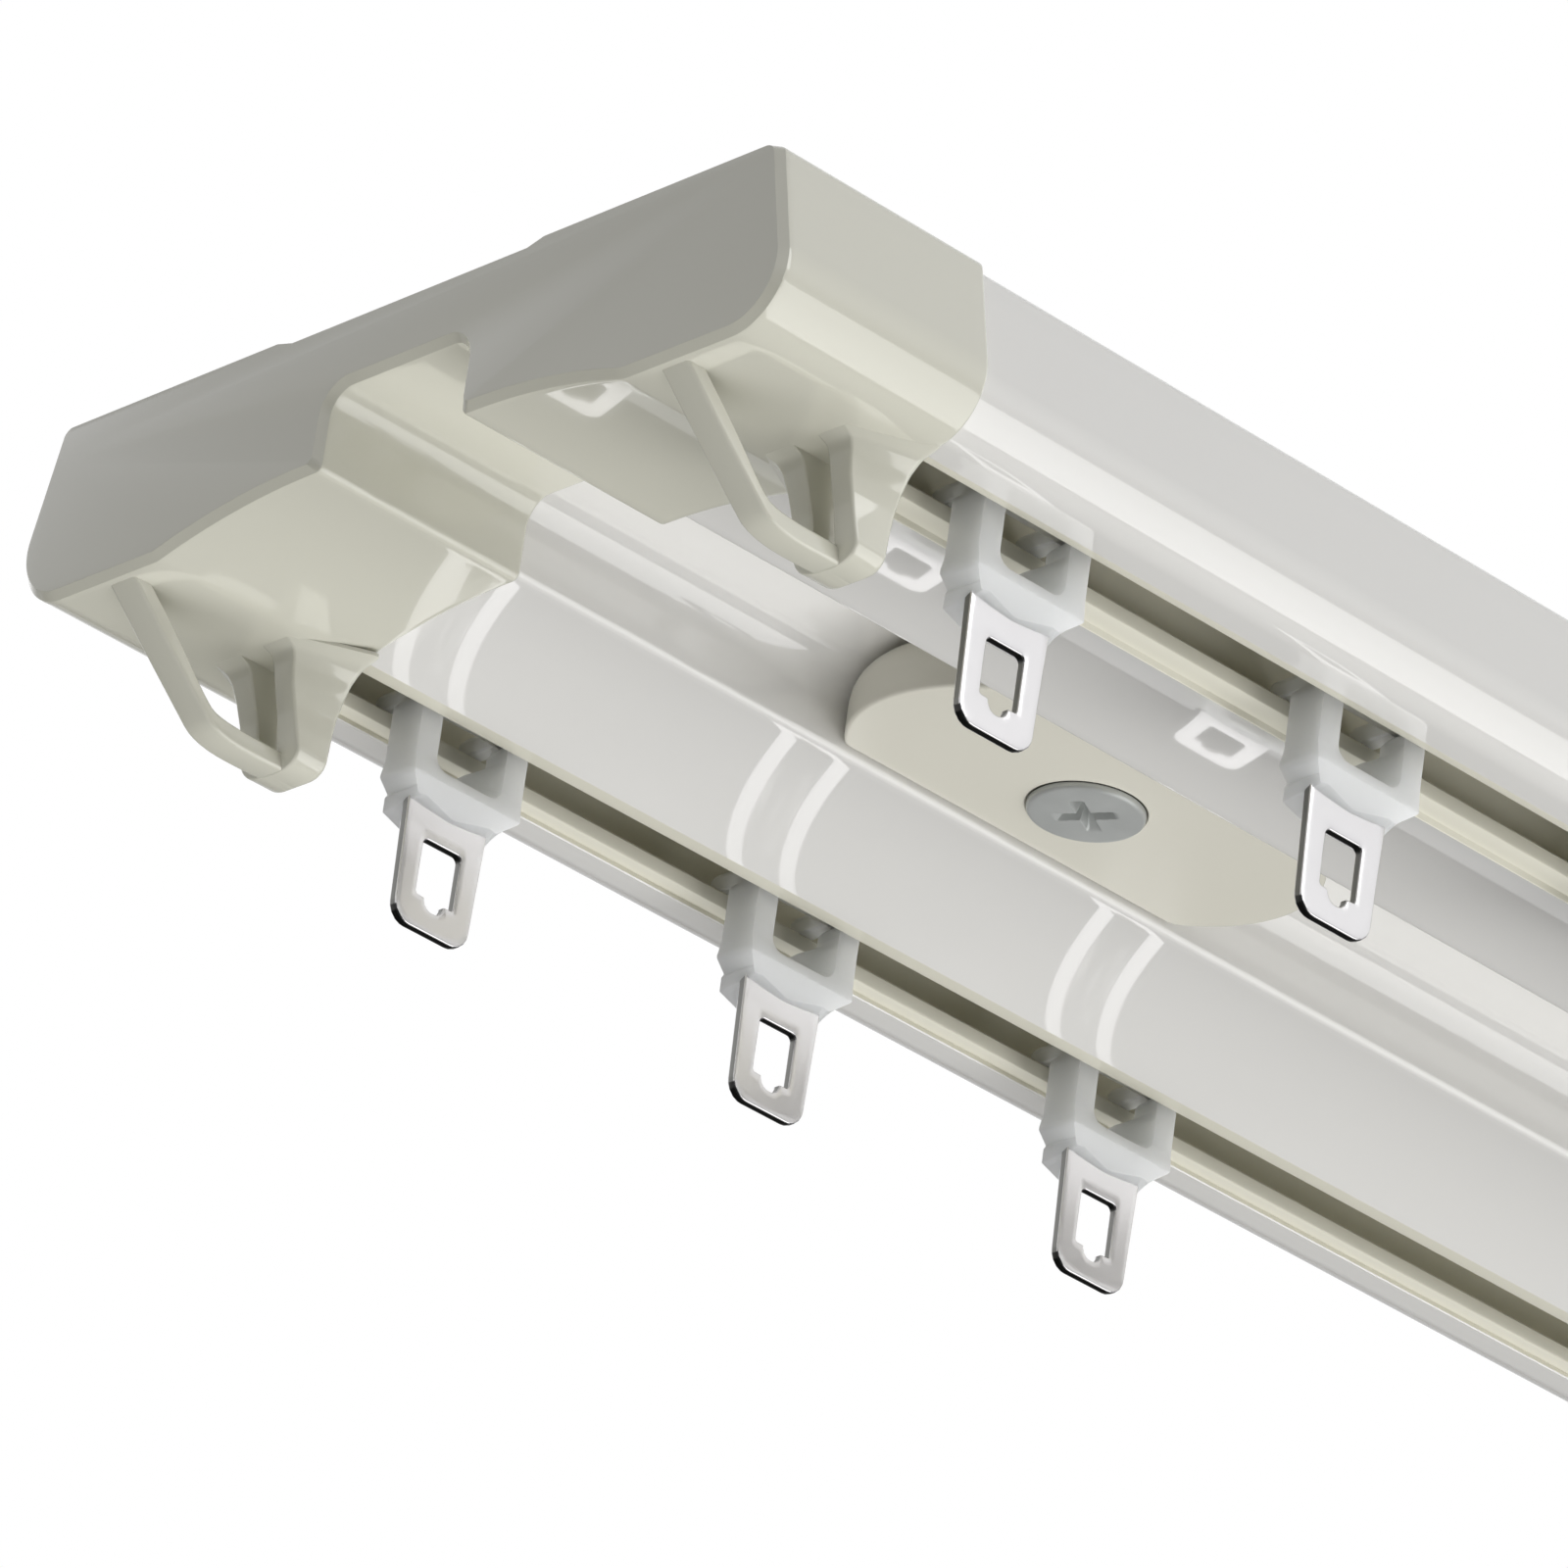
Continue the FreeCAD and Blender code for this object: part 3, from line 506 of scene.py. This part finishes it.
def washer_patches(x, half_length, half_width):
    """Rings from the washer's hidden top down its side, over the rounded edge and across the
    face to the dish and its bore: each ring is the plan outline or a circle at one level."""
    fillet = RECESS_FILLET - WASHER_FIT
    turn = np.radians(np.linspace(0, 90, 8))
    top = -(RECESS_DEPTH + WASHER_FIT)
    rings = [(fillet * (1 - np.sin(a)), top - fillet * (1 - np.cos(a)), 0) for a in turn]
    rings += [(0, WASHER_FACE + 0.6, 0)]
    rings += [(WASHER_EDGE * (1 - np.cos(a)), WASHER_FACE + WASHER_EDGE * (1 - np.sin(a)), 0)
              for a in turn]
    rings += [(0.6, WASHER_FACE, 0)]
    rings += [(0, WASHER_FACE + rise, HEAD_RADIUS + more)
              for rise, more in ((0, 0.5), (0, 0.2), (0.1, 0.1), (0.5, 0))]
    rings += [(0, WASHER_FACE + 2.8, WASHER_BORE), (0, top, WASHER_BORE)]
    count = 240
    angle = np.radians(np.linspace(0, 360, count, endpoint=False))
    rows = []
    for inset, z, radius in rings:
        if radius:
            plan = radius * np.stack([np.cos(angle), np.sin(angle)], 1)
        else:
            plan = washer_plan(half_length - inset, half_width - inset, WASHER_BOW - inset, count)
        rows.append(np.column_stack([plan[:, 0] + x, plan[:, 1], np.full(count, z)]))
    points = np.stack(rows) * MM
    return [(points, grid_faces(len(rows), count, close_rows=True, close_columns=True), 0)]


for number in (1, 2, 3):
    low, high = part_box("fixing_washer_%d" % number)
    middle, reach = (low[0] + high[0]) / 2 / MM, (high[0] - low[0]) / 2 / MM
    width = RECESS_HALF - WASHER_FIT
    piece("washer_%d" % number, washer_patches(middle, reach, width), [washer_cream],
          "track", ["fixing_washer_%d" % number])

# FIXING SCREWS
# Zinc-plated countersunk screws with a cross recess, through washer and track into the ceiling.
# The head stands a little proud of the washer.
HEAD_FACE, HEAD_ROUND = -11.6, 0.35
SHANK_RADIUS, SHANK_LOW, SHANK_TOP, SCREW_TIP = 2.1, -8.8, 20.0, 24.0
CROSS_REACH, CROSS_HALF, CROSS_DEPTH, CROSS_TURN = 2.5, 0.55, 1.5, 28.0


def steel(name, colour, dark, roughness, scale, metal=1.0):
    """Plated steel: mottled roughness and a trace of darker tone."""
    material, tree = finish_named(name)
    place = tree.node("ShaderNodeTexCoord", take="Object")
    mottle = tree.node("ShaderNodeTexNoise", {}, {"Vector": place, "Scale": scale, "Detail": 4.0})
    tone = tree.node("ShaderNodeTexNoise", {}, {"Vector": place, "Scale": 250.0, "Detail": 2.0})
    bump = tree.node("ShaderNodeBump", {}, {"Strength": 0.05, "Distance": 0.0001, "Height": mottle})
    shader = tree.node("ShaderNodeBsdfPrincipled", {}, {
        "Base Color": tone.mix(dark, colour), "Metallic": metal,
        "Roughness": roughness + mottle * 0.1, "Normal": bump})
    tree.node("ShaderNodeOutputMaterial", {}, {"Surface": shader})
    return material


screw_steel = steel("screw_zinc_steel", tint(0.80, 0.81, 0.80), tint(0.70, 0.71, 0.70),
                    0.35, 600.0, 0.35)


def screw_patch(x):
    """A turned surface: radius and height along the screw, carried round the axis. The recess
    sinks the face by a cross of two rounded bars."""
    face_r = np.linspace(0, HEAD_RADIUS - HEAD_ROUND, 26)
    turn = np.radians(np.linspace(0, 90, 6))
    rim_r = HEAD_RADIUS - HEAD_ROUND + HEAD_ROUND * np.sin(turn)
    rim_z = HEAD_FACE + HEAD_ROUND * (1 - np.cos(turn))
    body_r = [HEAD_RADIUS, 3.9, SHANK_RADIUS, SHANK_RADIUS, 0.0]
    body_z = [WASHER_FACE, WASHER_FACE + 0.05, SHANK_LOW, SHANK_TOP, SCREW_TIP]
    radius = np.concatenate([face_r, rim_r[1:], body_r])
    level = np.concatenate([np.full(len(face_r), HEAD_FACE), rim_z[1:], body_z])
    count = 120
    angle = np.radians(np.linspace(0, 360, count, endpoint=False)) + np.radians(20)
    r, a = np.meshgrid(radius, angle, indexing="ij")
    turned = a - np.radians(CROSS_TURN)
    u, v = np.abs(r * np.cos(turned)), np.abs(r * np.sin(turned))
    arm = np.minimum(np.maximum(u / CROSS_REACH, v / CROSS_HALF),
                     np.maximum(v / CROSS_REACH, u / CROSS_HALF))
    sink = CROSS_DEPTH * np.clip(1.9 * (1 - arm), 0, 1)
    z = level[:, None] + sink * (level[:, None] == HEAD_FACE)
    points = np.stack([x + r * np.cos(a), r * np.sin(a), z], 2) * MM
    return [(points, grid_faces(len(radius), count, close_columns=True), 0)]


for number in (1, 2, 3):
    low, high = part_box("fixing_screw_%d" % number)
    piece("screw_%d" % number, screw_patch((low[0] + high[0]) / 2 / MM), [screw_steel],
          "track", ["fixing_screw_%d" % number])

# GLIDERS
# Milky nylon mouldings that slide in the channels: a shoe on the lips, two legs down through the
# slot and a hub whose two cheeks hold the steel eyelet between them, the -Y one the shorter.
LEG_REACH = 5.55
SHOE_LOW = -11.88
WINDOW_TOP = -11.95
PAD_X, PAD_HALF_X, PAD_HALF_Y = 4.4, 0.75, 4.8
PLATE_CENTRE = (0.0, -15.0)
NEAR_DEPTH, NEAR_THICK = [11.9, 12.2, 16.9, 18.5, 20.3], [0.03, 1.8, 1.8, 2.02, 0.7]
FAR_DEPTH, FAR_THICK = [11.9, 12.2, 16.9, 18.3, 21.0, 21.8], [0.03, 1.8, 1.8, 2.03, 2.0, 1.85]

nylon = plastic("glider_nylon", tint(0.89, 0.895, 0.895), tint(0.87, 0.88, 0.88),
                0.3, 0.5, 0.05, subsurface=0.9)


def reach_by_angle(outline, centre, angle):
    """Distance from a centre to a closed outline round it, along each angle. The edge from p to q
    is met by the ray d at p x q / d x (q - p)."""
    corner = np.array(outline) - centre
    corner_angle = np.arctan2(corner[:, 1], corner[:, 0])
    corner = corner[np.argsort(corner_angle)]
    number = np.searchsorted(np.sort(corner_angle), angle + 1e-9) - 1
    p, q = corner[number], corner[(number + 1) % len(corner)]
    edge = q - p
    crossed = np.cos(angle) * edge[:, 1] - np.sin(angle) * edge[:, 0]
    return (p[:, 0] * q[:, 1] - p[:, 1] * q[:, 0]) / crossed


def face_rings(outline, hole, half_thick, side, centre, angle, soft, across):
    """One face of a plate with a hole, in rings from the hole out to the outline. Both edges are
    quarter rounds of the soft distance. half_thick gives half the thickness at each height."""
    inner, outer = reach_by_angle(hole, centre, angle), reach_by_angle(outline, centre, angle)
    turn = np.radians(np.linspace(0, 90, 4))[:, None]
    share = np.linspace(0, 1, across)[1:-1, None]
    curl, drop = soft * (1 - np.sin(turn)), soft * (1 - np.cos(turn))
    middle = inner + soft + share * (outer - inner - 2 * soft)
    reach = np.concatenate([inner + curl[::-1], middle, outer - curl])
    depth = np.concatenate([drop[::-1], 0 * share, drop])
    x, z = centre[0] + reach * np.cos(angle), centre[1] + reach * np.sin(angle)
    return np.stack([x, side * (half_thick(z) - depth), z], 2)


def holed_plate(near, far, centre, soft, across):
    """A plate with a hole as a grid, closed both ways: the near face outwards, the rim, the far
    face inwards and the hole's wall. Each face has its own outline, hole and half thickness."""
    angle = np.linspace(-np.pi, np.pi, 160, endpoint=False)
    for outline in (*near[:2], *far[:2]):
        offset = np.array(outline) - centre
        angle = np.concatenate([angle, np.arctan2(offset[:, 1], offset[:, 0])])
    angle = np.unique(np.round(angle, 4))
    front = face_rings(*near, -1, centre, angle, soft, across)
    back = face_rings(*far, 1, centre, angle, soft, across)
    return np.concatenate([front, back[::-1]])


def both_sides(half, radii):
    """A closed outline, mirrored in X from its +X half, with its corners rounded."""
    return rounded(half + [(-x, z) for x, z in half[::-1]], radii + radii[::-1])


near_outline = both_sides(
    [(LEG_REACH, SHOE_LOW), (LEG_REACH, -17.3), (5.5, -18.6), (4.1, -19.8), (3.3, -19.7), (0.25, -20.3)],
    [0.03, 0.6, 0.4, 0.3, 0.2, 0.2])
far_outline = both_sides(
    [(LEG_REACH, SHOE_LOW), (LEG_REACH, -17.3), (5.65, -18.3), (4.62, -19.4), (4.85, -19.75),
     (4.85, -21.0), (2.9, -21.78)],
    [0.03, 0.6, 0.45, 0.12, 0.1, 0.15, 0.3])
near_window = rounded(
    [(3.4, WINDOW_TOP), (3.4, -17.6), (-3.4, -17.6), (-3.4, WINDOW_TOP)], [0.05, 1.2, 1.2, 0.05])
far_window = rounded(
    [(4.3, WINDOW_TOP), (4.3, -13.4), (2.4, -14.6), (-0.5, -17.2), (-3.4, -17.3), (-3.4, WINDOW_TOP)],
    [0.05, 0.4, 0.6, 0.6, 0.9, 0.05])
glider_ring = holed_plate(
    (near_outline, near_window, lambda z: np.interp(-z, NEAR_DEPTH, NEAR_THICK)),
    (far_outline, far_window, lambda z: np.interp(-z, FAR_DEPTH, FAR_THICK)),
    PLATE_CENTRE, 0.02, 20)
ring_faces = grid_faces(*glider_ring.shape[:2], close_rows=True, close_columns=True)


def shoe_pad(side):
    """The hidden pad on one leg, which rests on both lips: rounded rectangles in plan, stacked."""
    plans = []
    for inset in (0.15, 0.0, 0.0, 0.2, 0.4):
        x0, x1 = side * (PAD_X - PAD_HALF_X + inset), side * (PAD_X + PAD_HALF_X - inset)
        y = PAD_HALF_Y - inset
        plans.append([(x1, -y), (x1, y), (x0, y), (x0, -y)])
    return stacked(SHOE_LOW + np.array([0.0, 0.15, 1.2, 1.6, 1.8]), plans, [[0.3] * 4] * 5)


# EYELETS
# Stamped steel plates with a polished nickel finish and tumbled, rounded edges. A darker steel on the
# outer rim and the hole's wall is painted dark reflection. The long hole for the curtain's hook ends in
# a round notch.
RUN_Y = 31.0
EYELET_HALF_THICK = 0.4

polished = steel("eyelet_nickel_steel", tint(0.905, 0.90, 0.905), tint(0.89, 0.885, 0.89), 0.18, 500.0)
# Painted dark reflection: a darker steel for the rim, standing in for the dark surroundings that the
# rounded edges mirror.
painted_dark_rim = steel("eyelet_painted_dark_rim", tint(0.56, 0.56, 0.55), tint(0.48, 0.48, 0.47), 0.3, 500.0)

eyelet_outline = both_sides([(4.1, -18.9), (3.75, -30.25)], [0.3, 1.65])
eyelet_hole = both_sides(
    [(1.97, -22.7), (1.97, -27.4), (1.05, -27.45), (1.05, -28.4)], [0.5, 0.3, 0.12, 0.95])
eyelet_face = (eyelet_outline, eyelet_hole, lambda z: np.full_like(z, EYELET_HALF_THICK))
eyelet_ring = holed_plate(eyelet_face, eyelet_face, (0.0, -25.0), 0.14, 5)
eyelet_rows, eyelet_columns = eyelet_ring.shape[:2]
eyelet_faces = grid_faces(eyelet_rows, eyelet_columns, close_rows=True, close_columns=True)
row_number = np.repeat(np.arange(eyelet_rows), eyelet_columns)
# The rim faces (outer edge and hole wall), which carry the painted dark reflection.
on_rim = (row_number == eyelet_rows // 2 - 1) | (row_number == eyelet_rows - 1)

for run, y in (("a", RUN_Y), ("b", -RUN_Y)):
    for number in range(1, 7):
        tag = run + str(number)
        low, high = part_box("glider_" + tag)
        offset = np.array([(low[0] + high[0]) / 2, y * MM, 0])
        patches = [(glider_ring * MM + offset, ring_faces, 0)]
        patches += capped(shoe_pad(-1) * MM + offset) + capped(shoe_pad(1) * MM + offset)
        piece("glider_body_" + tag, patches, [nylon], "glider_" + tag, ["glider_" + tag], 24)
        low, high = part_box("eyelet_" + tag)
        offset[0] = (low[0] + high[0]) / 2
        piece("eyelet_plate_" + tag, [(eyelet_ring * MM + offset, eyelet_faces, on_rim.astype(int))],
              [polished, painted_dark_rim], "glider_" + tag, ["eyelet_" + tag], 50)

# STUDIO
# A floor far below the ceiling, white to the camera and dark to the light that falls on it, soft
# lamps, and the camera that looks up along the track from its near end.
FLOOR_Z, FLOOR_HALF = -16.0, 100.0
FLOOR_TONE, WHITE = (0.05, 0.05, 0.05, 1.0), (1.0, 1.0, 1.0, 1.0)
AMBIENT = tint(0.58, 0.58, 0.58)
HORIZON_FROM, HORIZON_TO = 0.02, 0.3
CAMERA_PLACE = (-1.080894, -0.618603, -0.421693)
CAMERA_RIGHT = (0.7154, -0.6867, 0.1290)
CAMERA_UP = (-0.3923, -0.2420, 0.8874)
CAMERA_LENS, CAMERA_SENSOR = 274.0, 36.0


def floor_finish():
    """The floor's finish: plain white where the camera sees it, and a dark matt tone to light."""
    material, tree = finish_named("floor_pale")
    seen = tree.node("ShaderNodeLightPath", take="Is Camera Ray")
    matt = tree.node("ShaderNodeBsdfDiffuse", {}, {"Color": FLOOR_TONE})
    white = tree.node("ShaderNodeEmission", {}, {"Color": WHITE, "Strength": 1.0})
    both = tree.node("ShaderNodeMixShader", {}, {0: seen, 1: matt, 2: white})
    tree.node("ShaderNodeOutputMaterial", {}, {"Surface": both})
    return material


floor_mesh = bpy.data.meshes.new("floor")
floor_corners = [(x * FLOOR_HALF, y * FLOOR_HALF, FLOOR_Z)
                 for x, y in ((-1, -1), (1, -1), (1, 1), (-1, 1))]
floor_mesh.from_pydata(floor_corners, [], [(0, 1, 2, 3)])
floor_mesh.materials.append(floor_finish())
floor = bpy.data.objects.new("floor", floor_mesh)
bpy.context.scene.collection.objects.link(floor)

world = bpy.data.worlds.new("studio")
bpy.context.scene.world = world
world.use_nodes = True
world.node_tree.nodes.clear()
sky = Wire(world.node_tree)
camera_ray = sky.node("ShaderNodeLightPath", take="Is Camera Ray")
shown = sky.math("MAXIMUM", camera_ray.beside("Is Glossy Ray"), camera_ray.beside("Is Transmission Ray"))
direction = sky.node("ShaderNodeTexCoord", take="Generated")
upward = sky.node("ShaderNodeSeparateXYZ", {}, {0: direction}, take="Z")
horizon = {"Value": upward, "From Min": HORIZON_FROM, "From Max": HORIZON_TO}
shown_above = shown * sky.node("ShaderNodeMapRange", {}, horizon)
shade = sky.math("MAXIMUM", camera_ray, shown_above).mix(AMBIENT, WHITE)
backdrop = sky.node("ShaderNodeBackground", {}, {"Color": shade, "Strength": 1.0})
sky.node("ShaderNodeOutputWorld", {}, {"Surface": backdrop})


def pose(right, up, away, place):
    """The pose of a lamp or camera whose own X, Y and Z axes are right, up and away."""
    return Matrix([*np.column_stack([right, up, away, place]).tolist(), (0, 0, 0, 1)])


def lamp(name, place, target, size, power, diffuse=True, gloss=True):
    """A soft rectangular lamp, width by height, turned to face a point. It lights matt surfaces,
    shows in gloss, or both."""
    data = bpy.data.lights.new(name, "AREA")
    data.shape, data.energy = "RECTANGLE", power
    data.size, data.size_y = size
    made = bpy.data.objects.new(name, data)
    made.visible_camera, made.visible_diffuse, made.visible_glossy = False, diffuse, gloss
    away = np.array(place) - np.array(target)
    away = away / np.linalg.norm(away)
    right = np.cross([0, 0, 1.0], away)
    right = right / np.linalg.norm(right)
    made.matrix_world = pose(right, np.cross(away, right), away, place)
    bpy.context.scene.collection.objects.link(made)


lamp("key", (-0.2, -2.4, 1.2), (-0.5, 0, 0), (1.6, 1.6), 16.0)
lamp("tall_box", (0.72, -1.5, -0.72), (-0.45, 0, 0), (1.0, 2.9), 19.0, gloss=False)
lamp("gloss_box", (0.45, -1.12, -0.92), (-0.4, 0, -0.03), (1.6, 1.7), 14.0, diffuse=False)
lamp("low_fill", (0.2, -0.5, -2.35), (0.2, -0.49, 0), (5.0, 5.0), 108.0, gloss=False)
lamp("end_fill", (-2.6, -0.6, -1.6), (-0.6, 0, 0), (2.0, 2.0), 3.0, gloss=False)

camera_data = bpy.data.cameras.new("camera")
camera_data.sensor_width, camera_data.lens, camera_data.clip_start = CAMERA_SENSOR, CAMERA_LENS, 0.01
camera = bpy.data.objects.new("camera", camera_data)
camera.matrix_world = pose(CAMERA_RIGHT, CAMERA_UP, np.cross(CAMERA_RIGHT, CAMERA_UP), CAMERA_PLACE)
bpy.context.scene.collection.objects.link(camera)
bpy.context.scene.camera = camera
bpy.context.scene.view_settings.view_transform = "Standard"
